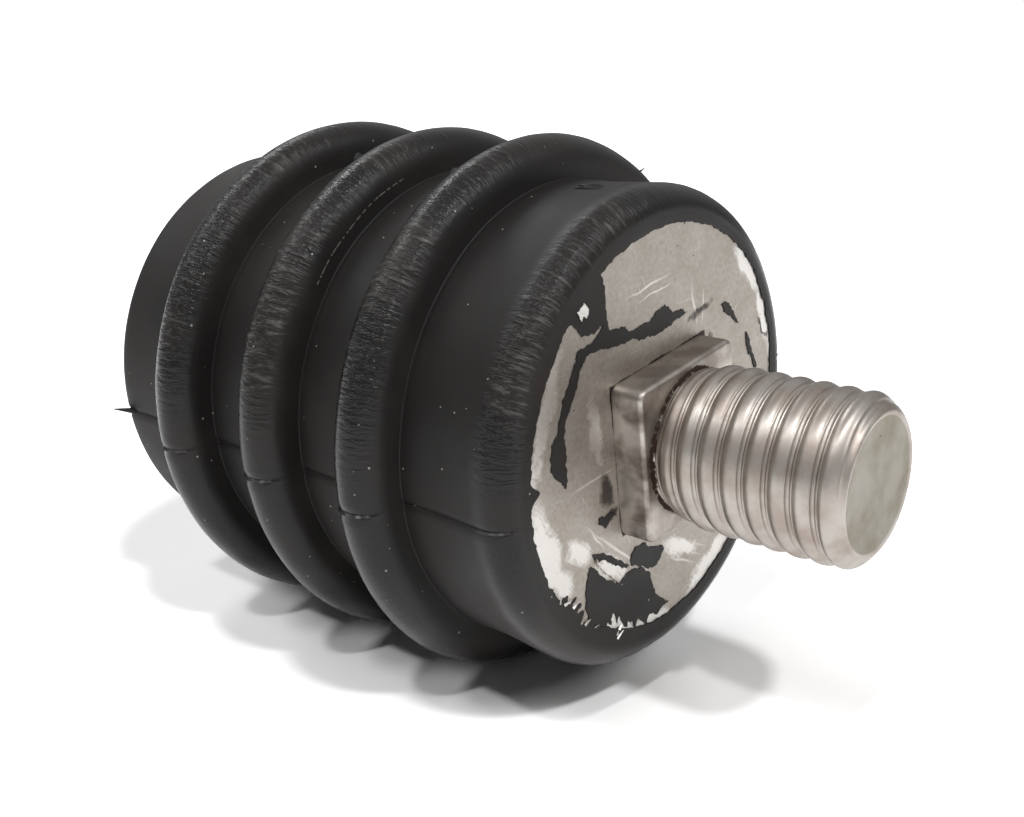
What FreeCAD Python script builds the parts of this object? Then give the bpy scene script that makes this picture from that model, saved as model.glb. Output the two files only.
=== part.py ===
import FreeCAD, Part
import Sketcher
import os

# Outboard motor mount: a ribbed rubber barrel moulded round a metal core, with a
# stainless stud that stands out of the core's front face on a square shoulder.
#
# Frame: millimetres, +Z up the stud. The origin is the centre of the closed rear
# face, on which the mount stands. The flats of the square shoulder face X and Y.
#
# Each dimension is written once, in the sheet below, and every feature reads it there.

DIMENSIONS = (
    # The rubber barrel.
    ("barrel_length", 43.7, "closed rear face to the front face of the core"),
    ("barrel_radius", 17.75, "plain barrel between the ribs"),
    ("rim_flare", 0.3, "how far the front rim stands outside the plain barrel"),
    ("flare_length", 6.3, "front stretch over which the barrel widens to its rim"),
    ("rear_wall", 3.0, "rubber that closes the barrel behind the core"),
    ("front_rim_round", 1.6, "rounding of the rubber rim round the core's face"),
    ("rear_rim_round", 1.2, "rounding of the rear edge"),
    # The ribs that fill the housing.
    ("rib_height", 3.25, "how far a rib stands outside the plain barrel"),
    ("rib_nose_radius", 2.15, "round top of a rib, which is half its width"),
    ("rib_foot_round", 1.0, "fillet where a rib runs into the barrel"),
    ("rib_root", 0.8, "how far a rib is rooted inside the barrel's skin"),
    ("first_rib_height", 11.1, "rear face to the middle of the first rib"),
    ("rib_pitch", 10.5, "middle to middle of neighbouring ribs"),
    ("rib_count", 3, "number of ribs"),
    # The metal core.
    ("rubber_wall", 1.85, "rubber round the core, whose metal face shows inside it at the front"),
    ("core_chamfer", 1.0, "chamfer of the core's buried rear edge"),
    # The stud.
    ("stud_radius", 6.0, "major radius of the thread, M12"),
    ("stud_reach", 16.8, "front face of the core to the tip"),
    ("tip_chamfer", 1.0, "chamfer at the tip"),
    ("runout_radius", 5.1, "neck between the shoulder and the thread"),
    ("runout_width", 0.8, "length of that neck"),
    ("shoulder_width", 11.8, "across the flats of the square shoulder"),
    ("shoulder_height", 2.5, "shoulder above the front face of the core"),
    ("shoulder_corner", 0.7, "rounding of the shoulder's four upright corners"),
    ("shoulder_bevel", 0.35, "bevel round the top of the shoulder"),
    ("square_depth", 8.0, "how deep the square runs on into the core"),
    ("head_radius", 9.0, "round head held in the core"),
    ("head_thickness", 4.0, "thickness of that head"),
)

doc = FreeCAD.newDocument("OutboardMotorMount")

sheet = doc.addObject("Spreadsheet::Sheet", "Sizes")
for row, (alias, value, meaning) in enumerate(DIMENSIONS, start=1):
    sheet.set(f"A{row}", alias)
    sheet.set(f"B{row}", str(value))
    sheet.set(f"C{row}", meaning)
    sheet.setAlias(f"B{row}", alias)
doc.recompute()


def size(alias):
    """Value of one dimension in the sheet."""
    return float(getattr(sheet, alias))


def origin_feature(body, role):
    """Plane or axis of a body's own origin."""
    return next(item for item in body.Origin.OriginFeatures if item.Role == role)


def new_body(name, label):
    """Empty body for one piece of the mount."""
    body = doc.addObject("PartDesign::Body", name)
    body.Label = label
    return body


def new_sketch(body, name, plane):
    """Sketch on one of the body's origin planes."""
    sketch = body.newObject("Sketcher::SketchObject", name)
    sketch.AttachmentSupport = [(origin_feature(body, plane), "")]
    sketch.MapMode = "FlatFace"
    return sketch


def drive(sketch, constraint, expression):
    """Adds a constraint whose value follows an expression on the sheet."""
    number = sketch.addConstraint(constraint)
    sketch.setExpression(f"Constraints[{number}]", expression)


def place(sketch, geometry, point, vector, across, up):
    """Holds a sketch point at two expressions, where None means on the axis."""
    for kind, now, expression, axis in (("DistanceX", vector.x, across, -2), ("DistanceY", vector.y, up, -1)):
        if expression is None:
            sketch.addConstraint(Sketcher.Constraint("PointOnObject", geometry, point, axis))
        else:
            drive(sketch, Sketcher.Constraint(kind, -1, 1, geometry, point, now), expression)


def draw_outline(sketch, corners):
    """Closed outline of straight lines through corners of (value, value, expression, expression)."""
    vectors = [FreeCAD.Vector(across, up, 0) for across, up, _, _ in corners]
    for start, end in zip(vectors, vectors[1:] + vectors[:1]):
        sketch.addGeometry(Part.LineSegment(start, end), False)
    for number in range(len(corners)):
        sketch.addConstraint(Sketcher.Constraint("Coincident", number, 2, (number + 1) % len(corners), 1))
    for number, (_, _, across, up) in enumerate(corners):
        place(sketch, number, 1, vectors[number], across, up)


def turned(body, name, sketch):
    """Full turn of a sketch about its own upright axis."""
    feature = body.newObject("PartDesign::Revolution", name)
    feature.Profile = sketch
    feature.ReferenceAxis = (sketch, ["V_Axis"])
    feature.Angle = 360.0
    sketch.Visibility = False
    doc.recompute()
    return feature


def circle_edges(feature, radius, height, slack):
    """Names of a feature's full circles near one radius and height."""
    names = []
    for number, edge in enumerate(feature.Shape.Edges, start=1):
        circle = edge.Curve
        if not isinstance(circle, Part.Circle):
            continue
        if abs(circle.Radius - radius) < slack and abs(circle.Center.z - height) < slack:
            names.append(f"Edge{number}")
    return names


def rounded(body, name, base, edges, expression):
    """Fillet on named edges of the last feature."""
    feature = body.newObject("PartDesign::Fillet", name)
    feature.Base = (base, edges)
    feature.setExpression("Radius", expression)
    doc.recompute()
    return feature


# Rubber body. One moulding: a cup turned round the core, closed at the rear, with the
# ribs turned on its outside and their feet and both rims rounded.
rubber = new_body("RubberBody", "rubber_body")

flare_foot = size("barrel_length") - size("flare_length")
rim_radius = size("barrel_radius") + size("rim_flare")
core_radius = size("barrel_radius") - size("rubber_wall")
core_radius_at = "Sizes.barrel_radius - Sizes.rubber_wall"

cup_section = new_sketch(rubber, "CupSection", "XZ_Plane")
draw_outline(cup_section, (
    (0, 0, None, None),
    (size("barrel_radius"), 0, "Sizes.barrel_radius", None),
    (size("barrel_radius"), flare_foot, "Sizes.barrel_radius", "Sizes.barrel_length - Sizes.flare_length"),
    (rim_radius, size("barrel_length"), "Sizes.barrel_radius + Sizes.rim_flare", "Sizes.barrel_length"),
    (core_radius, size("barrel_length"), core_radius_at, "Sizes.barrel_length"),
    (core_radius, size("rear_wall") + size("core_chamfer"),
     core_radius_at, "Sizes.rear_wall + Sizes.core_chamfer"),
    (core_radius - size("core_chamfer"), size("rear_wall"),
     f"{core_radius_at} - Sizes.core_chamfer", "Sizes.rear_wall"),
    (0, size("rear_wall"), None, "Sizes.rear_wall"),
))
turned(rubber, "Cup", cup_section)

# Section of the first rib: two straight flanks and a half-round nose.
rib_section = new_sketch(rubber, "RibSection", "XZ_Plane")
root = size("barrel_radius") - size("rib_root")
crest_radius = size("barrel_radius") + size("rib_height")
nose_centre = crest_radius - size("rib_nose_radius")
rear_flank = size("first_rib_height") - size("rib_nose_radius")
front_flank = size("first_rib_height") + size("rib_nose_radius")
rear_root = FreeCAD.Vector(root, rear_flank, 0)
rear_nose = FreeCAD.Vector(nose_centre, rear_flank, 0)
crest = FreeCAD.Vector(crest_radius, size("first_rib_height"), 0)
front_nose = FreeCAD.Vector(nose_centre, front_flank, 0)
front_root = FreeCAD.Vector(root, front_flank, 0)
rear_line = rib_section.addGeometry(Part.LineSegment(rear_root, rear_nose), False)
nose_arc = rib_section.addGeometry(Part.Arc(rear_nose, crest, front_nose), False)
front_line = rib_section.addGeometry(Part.LineSegment(front_nose, front_root), False)
root_line = rib_section.addGeometry(Part.LineSegment(front_root, rear_root), False)
rib_section.addConstraint(Sketcher.Constraint("Coincident", rear_line, 2, nose_arc, 1))
rib_section.addConstraint(Sketcher.Constraint("Coincident", nose_arc, 2, front_line, 1))
rib_section.addConstraint(Sketcher.Constraint("Coincident", front_line, 2, root_line, 1))
rib_section.addConstraint(Sketcher.Constraint("Coincident", root_line, 2, rear_line, 1))
root_at = "Sizes.barrel_radius - Sizes.rib_root"
nose_at = "Sizes.barrel_radius + Sizes.rib_height - Sizes.rib_nose_radius"
rear_at = "Sizes.first_rib_height - Sizes.rib_nose_radius"
front_at = "Sizes.first_rib_height + Sizes.rib_nose_radius"
place(rib_section, rear_line, 1, rear_root, root_at, rear_at)
place(rib_section, rear_line, 2, rear_nose, nose_at, rear_at)
place(rib_section, front_line, 1, front_nose, nose_at, front_at)
place(rib_section, front_line, 2, front_root, root_at, front_at)
drive(rib_section, Sketcher.Constraint("DistanceX", -1, 1, nose_arc, 3, nose_centre), nose_at)
rib = turned(rubber, "Rib", rib_section)

ribs = rubber.newObject("PartDesign::LinearPattern", "Ribs")
ribs.Originals = [rib]
ribs.Direction = (origin_feature(rubber, "Z_Axis"), [""])
ribs.setExpression("Occurrences", "Sizes.rib_count")
ribs.setExpression("Length", "Sizes.rib_pitch * (Sizes.rib_count - 1)")
rubber.Tip = ribs
doc.recompute()

# The feet of the ribs lie on the plain barrel, behind its flare.
foot_edges = []
for number in range(int(size("rib_count"))):
    middle = size("first_rib_height") + number * size("rib_pitch")
    for flank in (middle - size("rib_nose_radius"), middle + size("rib_nose_radius")):
        foot_edges += circle_edges(ribs, size("barrel_radius"), flank, 0.1)
foot_round = "min(Sizes.rib_foot_round; 0.95 * (Sizes.rib_height - Sizes.rib_nose_radius))"
feet = rounded(rubber, "RibFeet", ribs, foot_edges, foot_round)
rear_rim = rounded(rubber, "RearRim", feet, circle_edges(feet, size("barrel_radius"), 0, 0.1),
                   "Sizes.rear_rim_round")
front_rim = rounded(rubber, "FrontRim", rear_rim,
                    circle_edges(rear_rim, rim_radius, size("barrel_length"), 0.1), "Sizes.front_rim_round")
rubber.Tip = front_rim

# Threaded stud. One stainless forging: a round head and a square neck held in the
# core, the top of that square standing out as the shoulder, then the round shank.
stud = new_body("ThreadedStud", "threaded_stud")

square_foot = size("barrel_length") - size("square_depth")
shoulder_top = size("barrel_length") + size("shoulder_height")
thread_foot = shoulder_top + size("runout_width")
thread_step = size("stud_radius") - size("runout_radius")
tip = size("barrel_length") + size("stud_reach")
head_foot_at = "Sizes.barrel_length - Sizes.square_depth - Sizes.head_thickness"
square_foot_at = "Sizes.barrel_length - Sizes.square_depth"
thread_foot_at = "Sizes.barrel_length + Sizes.shoulder_height + Sizes.runout_width"
tip_at = "Sizes.barrel_length + Sizes.stud_reach"

shank_section = new_sketch(stud, "ShankSection", "XZ_Plane")
draw_outline(shank_section, (
    (0, square_foot - size("head_thickness"), None, head_foot_at),
    (size("head_radius"), square_foot - size("head_thickness"), "Sizes.head_radius", head_foot_at),
    (size("head_radius"), square_foot, "Sizes.head_radius", square_foot_at),
    (size("runout_radius"), square_foot, "Sizes.runout_radius", square_foot_at),
    (size("runout_radius"), thread_foot, "Sizes.runout_radius", thread_foot_at),
    (size("stud_radius"), thread_foot + thread_step, "Sizes.stud_radius",
     f"{thread_foot_at} + Sizes.stud_radius - Sizes.runout_radius"),
    (size("stud_radius"), tip - size("tip_chamfer"), "Sizes.stud_radius", f"{tip_at} - Sizes.tip_chamfer"),
    (size("stud_radius") - size("tip_chamfer"), tip, "Sizes.stud_radius - Sizes.tip_chamfer", tip_at),
    (0, tip, None, tip_at),
))
turned(stud, "Shank", shank_section)

square_section = new_sketch(stud, "SquareSection", "XY_Plane")
square_section.setExpression("AttachmentOffset.Base.z", square_foot_at)
half = size("shoulder_width") / 2
square_corners = []
for across, up in ((-1, -1), (1, -1), (1, 1), (-1, 1)):
    across_at = f"{across} * Sizes.shoulder_width / 2"
    up_at = f"{up} * Sizes.shoulder_width / 2"
    square_corners.append((across * half, up * half, across_at, up_at))
draw_outline(square_section, square_corners)
square = stud.newObject("PartDesign::Pad", "Square")
square.Profile = square_section
square.setExpression("Length", "Sizes.square_depth + Sizes.shoulder_height")
square_section.Visibility = False
doc.recompute()

corner_edges = []
for number, edge in enumerate(square.Shape.Edges, start=1):
    ends = [vertex.Point for vertex in edge.Vertexes]
    if len(ends) != 2 or abs(ends[0].z - ends[1].z) < size("square_depth") / 2:
        continue
    if all(abs(abs(end.x) - half) < 0.01 and abs(abs(end.y) - half) < 0.01 for end in ends):
        corner_edges.append(f"Edge{number}")
square_round = rounded(stud, "SquareCorners", square, corner_edges, "Sizes.shoulder_corner")

top_edges = []
for number, edge in enumerate(square_round.Shape.Edges, start=1):
    middle = edge.valueAt((edge.FirstParameter + edge.LastParameter) / 2)
    outside = max(abs(middle.x), abs(middle.y)) > half - size("shoulder_corner")
    if outside and all(abs(vertex.Point.z - shoulder_top) < 0.01 for vertex in edge.Vertexes):
        top_edges.append(f"Edge{number}")
bevel = stud.newObject("PartDesign::Chamfer", "ShoulderBevel")
bevel.Base = (square_round, top_edges)
bevel.setExpression("Size", "Sizes.shoulder_bevel")
stud.Tip = bevel
doc.recompute()

# Metal core. A plain round core cast round the stud's head and square neck, so its
# pocket is the stud itself. It fills the cup and ends flush with the rubber.
blank = new_body("CoreBlank", "core_blank")
blank_section = new_sketch(blank, "CoreSection", "XZ_Plane")
draw_outline(blank_section, (
    (0, size("rear_wall"), None, "Sizes.rear_wall"),
    (core_radius - size("core_chamfer"), size("rear_wall"),
     f"{core_radius_at} - Sizes.core_chamfer", "Sizes.rear_wall"),
    (core_radius, size("rear_wall") + size("core_chamfer"),
     core_radius_at, "Sizes.rear_wall + Sizes.core_chamfer"),
    (core_radius, size("barrel_length"), core_radius_at, "Sizes.barrel_length"),
    (0, size("barrel_length"), None, "Sizes.barrel_length"),
))
turned(blank, "Blank", blank_section)

core = doc.addObject("Part::Cut", "MetalCore")
core.Label = "metal_core"
core.Base = blank
core.Tool = stud
doc.recompute()

pieces = (rubber, core, stud)
for item in doc.Objects:
    if "Invalid" in item.State or "Error" in item.State:
        raise RuntimeError(f"{item.Label} failed: {item.State}")
for piece in pieces:
    shape = piece.Shape
    if shape.isNull() or not shape.isValid() or len(shape.Solids) != 1:
        raise RuntimeError(f"{piece.Label} is not one valid solid")

os.makedirs("parts", exist_ok=True)
for piece in pieces:
    piece.Shape.exportStep(f"parts/{piece.Label}.step")
    box = piece.Shape.BoundBox
    print(f"{piece.Label}: {piece.Shape.Volume:.1f} mm3, z {box.ZMin:.2f} to {box.ZMax:.2f},"
          f" width {box.XLength:.2f}")
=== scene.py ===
"""Outboard motor mount: a ribbed rubber barrel on a cast core, with a square-shouldered stud.

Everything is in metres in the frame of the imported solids. The axis is +Z, the closed rear face
stands on z = 0, and the mould's parting line lies in the XZ plane. Sizes are written in
millimetres and turned to metres by MM.
"""

import logging
import math
import random
from collections.abc import Callable
from dataclasses import dataclass, field
from enum import Enum
from functools import partial, reduce

import bmesh
import bpy
from mathutils import Matrix, Vector, noise


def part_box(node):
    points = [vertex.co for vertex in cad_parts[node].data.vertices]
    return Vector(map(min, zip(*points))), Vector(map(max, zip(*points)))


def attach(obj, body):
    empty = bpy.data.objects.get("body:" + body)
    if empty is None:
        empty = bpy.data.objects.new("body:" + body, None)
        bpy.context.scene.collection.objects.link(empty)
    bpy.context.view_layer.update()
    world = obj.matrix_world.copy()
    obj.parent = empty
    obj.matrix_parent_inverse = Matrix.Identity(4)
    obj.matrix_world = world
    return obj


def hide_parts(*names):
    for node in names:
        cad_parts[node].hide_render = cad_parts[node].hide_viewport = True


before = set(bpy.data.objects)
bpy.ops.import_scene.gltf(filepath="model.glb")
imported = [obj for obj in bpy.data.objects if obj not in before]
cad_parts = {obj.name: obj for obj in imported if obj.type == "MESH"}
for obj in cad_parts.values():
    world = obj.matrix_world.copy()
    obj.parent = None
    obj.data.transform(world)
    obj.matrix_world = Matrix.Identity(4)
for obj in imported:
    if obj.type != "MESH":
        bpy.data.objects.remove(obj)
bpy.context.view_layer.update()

MM = 0.001
UP = Vector((0, 0, 1))
LOG = logging.getLogger("motor_mount")

# Start of all random draws. Blender's vector noise is seeded too, or it starts from the clock.
SEED = 11

# In mm: the gap between faces that would else lie in each other, and the reach of a weld.
CLEARANCE = 0.02
WELD = 0.002

# Settings that many nodes share. A colour Mix node's sockets A and B go by number, because its
# number sockets have the same names.
MIX_A, MIX_B = 6, 7
COLOURS = {"data_type": "RGBA"}
SMOOTH = {"interpolation_type": "SMOOTHSTEP"}
ADD, MULTIPLY, MULTIPLY_ADD, MAXIMUM, COMPARE, LESS, GREATER, LENGTH = (
    {"operation": name} for name in ("ADD", "MULTIPLY", "MULTIPLY_ADD", "MAXIMUM", "COMPARE",
                                     "LESS_THAN", "GREATER_THAN", "LENGTH"))

Point = tuple[float, float]
Spot = tuple[float, float, float]
Outline = tuple[Point, ...]
Source = bpy.types.Node | bpy.types.NodeSocket
AddNode = Callable[..., bpy.types.Node]


class Slot(Enum):
    """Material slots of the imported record."""

    RUBBER = "rubber"
    CORE = "core_metal"
    STUD = "stud_steel"


def linear(code: str) -> tuple[float, float, float, float]:
    """Turns an sRGB hex value to a linear colour.

    Args:
        code: six hexadecimal digits.

    Returns:
        Linear red, green and blue, and an alpha of 1.
    """
    channels = [int(code[at:at + 2], 16) / 255 for at in (0, 2, 4)]
    return *(c / 12.92 if c <= 0.04045 else ((c + 0.055) / 1.055) ** 2.4 for c in channels), 1.0


def feed(node: bpy.types.Node, links: dict[str | int, Source]) -> None:
    """Links sources to a node's inputs.

    Args:
        node: the node.
        links: source by input socket. A node stands for its first output that is in use.
    """
    for name, source in links.items():
        if isinstance(source, bpy.types.Node):
            source = next(socket for socket in source.outputs if socket.enabled)
        node.id_data.links.new(source, node.inputs[name])


def add_node(tree: bpy.types.NodeTree, kind: str, settings: dict[str | int, object] | None = None,
             links: dict[str | int, Source] | None = None) -> bpy.types.Node:
    """Adds one node with its settings and links.

    Args:
        tree: node tree that gets the node.
        kind: Blender's name for the node, without its leading ShaderNode.
        settings: properties by name, and input values by socket name or number.
        links: sources by input socket, as feed takes them.

    Returns:
        The new node.
    """
    node = tree.nodes.new(f"ShaderNode{kind}")
    for name, value in (settings or {}).items():
        if isinstance(name, str) and hasattr(node, name):
            setattr(node, name, value)
        else:
            node.inputs[name].default_value = value
    feed(node, links or {})
    return node


def new_material(name: str) -> tuple[bpy.types.Material, AddNode, bpy.types.Node]:
    """Starts a material.

    Args:
        name: its name.

    Returns:
        The material, what adds a node to it, and its shader.
    """
    material = bpy.data.materials.new(name)
    material.use_nodes = True
    tree = material.node_tree
    return material, partial(add_node, tree), tree.nodes["Principled BSDF"]


def from_axis(add: AddNode, parts: bpy.types.Node) -> bpy.types.Node:
    """Distance of a point from the axis, worked out from the three parts of its place."""
    level = add("CombineXYZ", links={"X": parts.outputs["X"], "Y": parts.outputs["Y"]})
    return add("VectorMath", LENGTH, {0: level})


def spots(add: AddNode, place: Source, cell_mm: float, radius_mm: float,
          bare: float) -> bpy.types.Node:
    """Scattered round spots of many sizes.

    Args:
        add: what adds a node to the material.
        place: place of the point, in metres.
        cell_mm: size of the cells, of which each has one spot at most.
        radius_mm: radius of the largest spot.
        bare: share of the cells that stay bare.

    Returns:
        A mask that is 1 on the spots.
    """
    cells = add("TexVoronoi", {"Scale": per_mm(cell_mm)}, {"Vector": place})
    drawn = add("SeparateColor", links={0: cells.outputs["Color"]})
    size = add("MapRange", {"From Min": bare, "From Max": 1.0, "To Max": radius_mm / cell_mm},
               {"Value": drawn})
    return add("Math", LESS, {0: cells.outputs["Distance"], 1: size})


def per_mm(size: float) -> float:
    """Texture scale at which one cell of a pattern measures `size` millimetres."""
    return 1 / (size * MM)


def arc(centre: Point, radius: float, start: float, end: float, steps: int) -> list[Point]:
    """Points along an arc of a section.

    Args:
        centre: radius and height of the arc's centre.
        radius: the arc's own radius.
        start: first angle in degrees, where 0 points away from the axis and 90 up it.
        end: last angle in degrees.
        steps: number of equal steps.

    Returns:
        Radius and height of each point, both ends included.
    """
    angles = [math.radians(start + (end - start) * step / steps) for step in range(steps + 1)]
    return [(centre[0] + radius * math.cos(a), centre[1] + radius * math.sin(a)) for a in angles]


def stretch(start: Point, end: Point, spacing: float) -> list[Point]:
    """Points on a straight stretch of a section, about `spacing` apart, without its ends."""
    count = max(1, round(math.dist(start, end) / spacing))
    return [tuple(a + (b - a) * step / count for a, b in zip(start, end))
            for step in range(1, count)]


def repeated(bm: bmesh.types.BMesh, move: Matrix) -> None:
    """Adds a moved copy of all that a bmesh holds."""
    copy = bmesh.ops.duplicate(bm, geom=bm.verts[:] + bm.edges[:] + bm.faces[:])
    verts = [item for item in copy["geom"] if isinstance(item, bmesh.types.BMVert)]
    bmesh.ops.transform(bm, verts=verts, matrix=move)


def turned(section: list[Point], steps: int) -> bmesh.types.BMesh:
    """Turns a section about the Z axis into a closed shell: first an eighth, then its copies.

    Args:
        section: radius and height of its points, from axis to axis.
        steps: number of columns round the axis, a multiple of 8.

    Returns:
        The shell, with its faces pointing outwards.
    """
    bm = bmesh.new()
    verts = [bm.verts.new((radius * MM, 0, height * MM)) for radius, height in section]
    edges = [bm.edges.new(pair) for pair in zip(verts, verts[1:])]
    sector = math.tau / 8
    bmesh.ops.spin(bm, geom=verts + edges, cent=(0, 0, 0), axis=UP, angle=sector,
                   steps=steps // 8)
    for _ in range(3):
        repeated(bm, Matrix.Rotation(sector, 4, "Z"))
        sector *= 2
    bmesh.ops.remove_doubles(bm, verts=bm.verts, dist=WELD * MM)
    bmesh.ops.recalc_face_normals(bm, faces=bm.faces)
    return bm


def polar(radius: float, angle: float, height: float) -> Vector:
    """Point at a radius, an angle in degrees and a height."""
    turn = math.radians(angle)
    return Vector((radius * math.cos(turn), radius * math.sin(turn), height))


def bump_at(angle: float, middle: float, width: float) -> float:
    """Smooth hill on a circle: 1 at `middle` degrees, and near 0 beyond `width` degrees."""
    away = (angle - middle + 180) % 360 - 180
    return math.exp(-(away / width) ** 2 * 2)


def linked(name: str, data: bpy.types.ID) -> bpy.types.Object:
    """Puts an object with some data into the scene."""
    made = bpy.data.objects.new(name, data)
    bpy.context.scene.collection.objects.link(made)
    return made


def finished(bm: bmesh.types.BMesh, name: str, material: bpy.types.Material,
             sharp: float = 35) -> bpy.types.Object:
    """Makes a finished piece from a bmesh.

    Args:
        bm: the mesh, in metres and in its place. It is freed.
        name: name of the piece.
        material: its finish.
        sharp: angle in degrees past which an edge stays sharp.

    Returns:
        The object, which rides on the root body.
    """
    for face in bm.faces:
        face.smooth = True
    for edge in bm.edges:
        edge.smooth = edge.calc_face_angle(math.pi) < math.radians(sharp)
    mesh = bpy.data.meshes.new(name)
    bm.to_mesh(mesh)
    bm.free()
    mesh.materials.append(material)
    piece = linked(name, mesh)
    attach(piece, "root")
    LOG.info("%s: %d faces", name, len(mesh.polygons))
    return piece


def joined(bm: bmesh.types.BMesh, other: bmesh.types.BMesh) -> None:
    """Adds a second closed shell to a bmesh and frees it."""
    carrier = bpy.data.meshes.new("carrier")
    other.to_mesh(carrier)
    other.free()
    bm.from_mesh(carrier)
    bpy.data.meshes.remove(carrier)


@dataclass(frozen=True)
class MouldedRubber:
    """Black natural rubber, moulded and then handled: matt, dark and dusty.

    Its highlights are broad and weak in the grooves. The noses of the ribs and the rim are
    polished by handling, and carry fine wrinkles across them, which glint. On the side that
    faces the lamps their tops are painted pale: partly worn rubber, partly a painted sheen.
    """

    colour: str = "201e1d"
    bloom: str = "302b29"
    dust: str = "b9b5ae"
    # Pale tops of the wrinkles: worn rubber, and a painted sheen on the side facing the lamps.
    scuff_and_sheen: str = "6f6b67"
    ior: float = 1.5
    specular: float = 0.27
    roughness: float = 0.56
    nose_roughness: float = 0.28
    smudge_mm: float = 7.0
    # The mould's blasted grain measures about 0.05 mm, and is drawn coarser so that it shows.
    grain_mm: float = 0.22
    grain_height_mm: float = 0.012
    # Grains of dust measure under 0.1 mm too, and the few that show are drawn larger.
    speck_cell_mm: float = 1.1
    speck_radius_mm: float = 0.085
    # Wrinkles at their real size, across the noses on the side that has been handled.
    wrinkle_pitch_mm: float = 0.4
    wrinkle_length_mm: float = 1.5
    wrinkle_height_mm: float = 0.06
    wrinkle_middle_deg: float = -52
    nose_foot_mm: float = 1.3
    nose_top_mm: float = 0.5
    rim_drops_mm: Point = (3.2, 1.6)
    face_insets_mm: Point = (2.0, 1.2)
    scrape_height_mm: float = 24.0
    scrape_reach_mm: float = 0.6
    scrape_width_mm: float = 0.05
    scrape_sway_mm: float = 0.5
    scrape_middle_deg: float = -61.5
    scrape_half_deg: float = 17.5

    def make(self, body: "RubberBody") -> bpy.types.Material:
        """Builds the material.

        Args:
            body: the rubber body, whose sizes say where the wrinkles lie.

        Returns:
            The material.
        """
        material, add, shader = new_material("moulded_rubber")
        shader.inputs["IOR"].default_value = self.ior
        shader.inputs["Specular IOR Level"].default_value = self.specular

        place = add("TexCoord").outputs["Object"]
        parts = add("SeparateXYZ", links={0: place})
        height, reach = parts.outputs["Z"], from_axis(add, parts)
        smudges = add("TexNoise", {"Scale": per_mm(self.smudge_mm), "Detail": 4.0},
                      {"Vector": place})
        grain = add("TexNoise", {"Scale": per_mm(self.grain_mm), "Detail": 2.0},
                    {"Vector": place})
        bloom = add("MapRange", {"From Min": 0.45, "From Max": 0.75, "To Max": 0.8},
                    {"Value": smudges})
        base = add("Mix", {**COLOURS, MIX_A: linear(self.colour), MIX_B: linear(self.bloom)},
                   {0: bloom})

        # The wrinkles are noise on the unrolled skin: the way round at a rib's nose, and height.
        turn = add("Math", {"operation": "ARCTAN2"},
                   {0: parts.outputs["Y"], 1: parts.outputs["X"]})
        way_round = add("Math", {**MULTIPLY, 1: body.crest_radius / self.wrinkle_pitch_mm},
                        {0: turn})
        along = add("Math", {**MULTIPLY, 1: per_mm(self.wrinkle_length_mm)}, {0: height})
        flat = add("CombineXYZ", links={"X": way_round, "Y": along})
        wrinkles = add("TexNoise", {"Scale": 1.0, "Detail": 3.0, "Roughness": 0.6,
                                    "Distortion": 0.25}, {"Vector": flat})
        on_nose = add("MapRange", {
            **SMOOTH, "From Min": (body.barrel_radius + self.nose_foot_mm) * MM,
            "From Max": (body.crest_radius - self.nose_top_mm) * MM}, {"Value": reach})
        low, high = ((body.front - drop) * MM for drop in self.rim_drops_mm)
        on_rim = add("MapRange", {**SMOOTH, "From Min": low, "From Max": high},
                     {"Value": height})
        low, high = ((body.rim_radius - inset) * MM for inset in self.face_insets_mm)
        off_face = add("MapRange", {"From Min": low, "From Max": high}, {"Value": reach})
        rim_only = add("Math", MULTIPLY, {0: on_rim, 1: off_face})
        wrinkled = add("Math", MAXIMUM, {0: on_nose, 1: rim_only})
        ridges = add("MapRange", {"From Min": 0.36, "From Max": 0.68}, {"Value": wrinkles})
        side = add("Math", {"operation": "SUBTRACT", 1: math.radians(self.wrinkle_middle_deg)},
                   {0: turn})
        faced = add("Math", {"operation": "COSINE"}, {0: side})
        handled = add("MapRange", {**SMOOTH, "From Min": 0.6, "From Max": 0.93, "To Min": 0.08},
                      {"Value": faced})
        there = add("Math", MULTIPLY, {0: wrinkled, 1: handled})
        depth = add("Math", MULTIPLY, {0: ridges, 1: there})

        # The tops of the wrinkles on the handled side, which faces the lamps, are painted pale,
        # more
        # so where the skin is smudged: partly rubbed wear, partly a painted sheen on the noses.
        rubbed = add("Math", MULTIPLY, {0: depth, 1: smudges})
        wear_and_sheen = add("MapRange", {"From Min": 0.3, "From Max": 0.58, "To Max": 0.6},
                   {"Value": rubbed})
        scuffed_and_sheen = add("Mix", {**COLOURS, MIX_B: linear(self.scuff_and_sheen)}, {0: wear_and_sheen, MIX_A: base})

        # A thin, broken, pale scrape runs along the front foot of the second rib.
        sway = add("Math", {**MULTIPLY_ADD, 1: self.scrape_sway_mm * MM}, {0: smudges, 2: reach})
        scrape = add("Math", {**COMPARE, 1: (body.barrel_radius + self.nose_foot_mm) * MM,
                              2: self.scrape_width_mm * MM}, {0: sway})
        at_foot = add("Math", {**COMPARE, 1: self.scrape_height_mm * MM,
                               2: self.scrape_reach_mm * MM}, {0: height})
        sector = add("Math", {**COMPARE, 1: math.radians(self.scrape_middle_deg),
                              2: math.radians(self.scrape_half_deg)}, {0: turn})
        broken = add("Math", {**GREATER, 1: 0.47}, {0: wrinkles})
        for mask in (at_foot, sector, broken):
            scrape = add("Math", MULTIPLY, {0: scrape, 1: mask})
        faint = add("Math", {**MULTIPLY, 1: 0.4}, {0: scrape})
        specks = spots(add, place, self.speck_cell_mm, self.speck_radius_mm, 0.35)
        pale = add("Math", MAXIMUM, {0: specks, 1: faint})
        dusty = add("Mix", {**COLOURS, MIX_B: linear(self.dust)}, {0: pale, MIX_A: scuffed_and_sheen})

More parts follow.
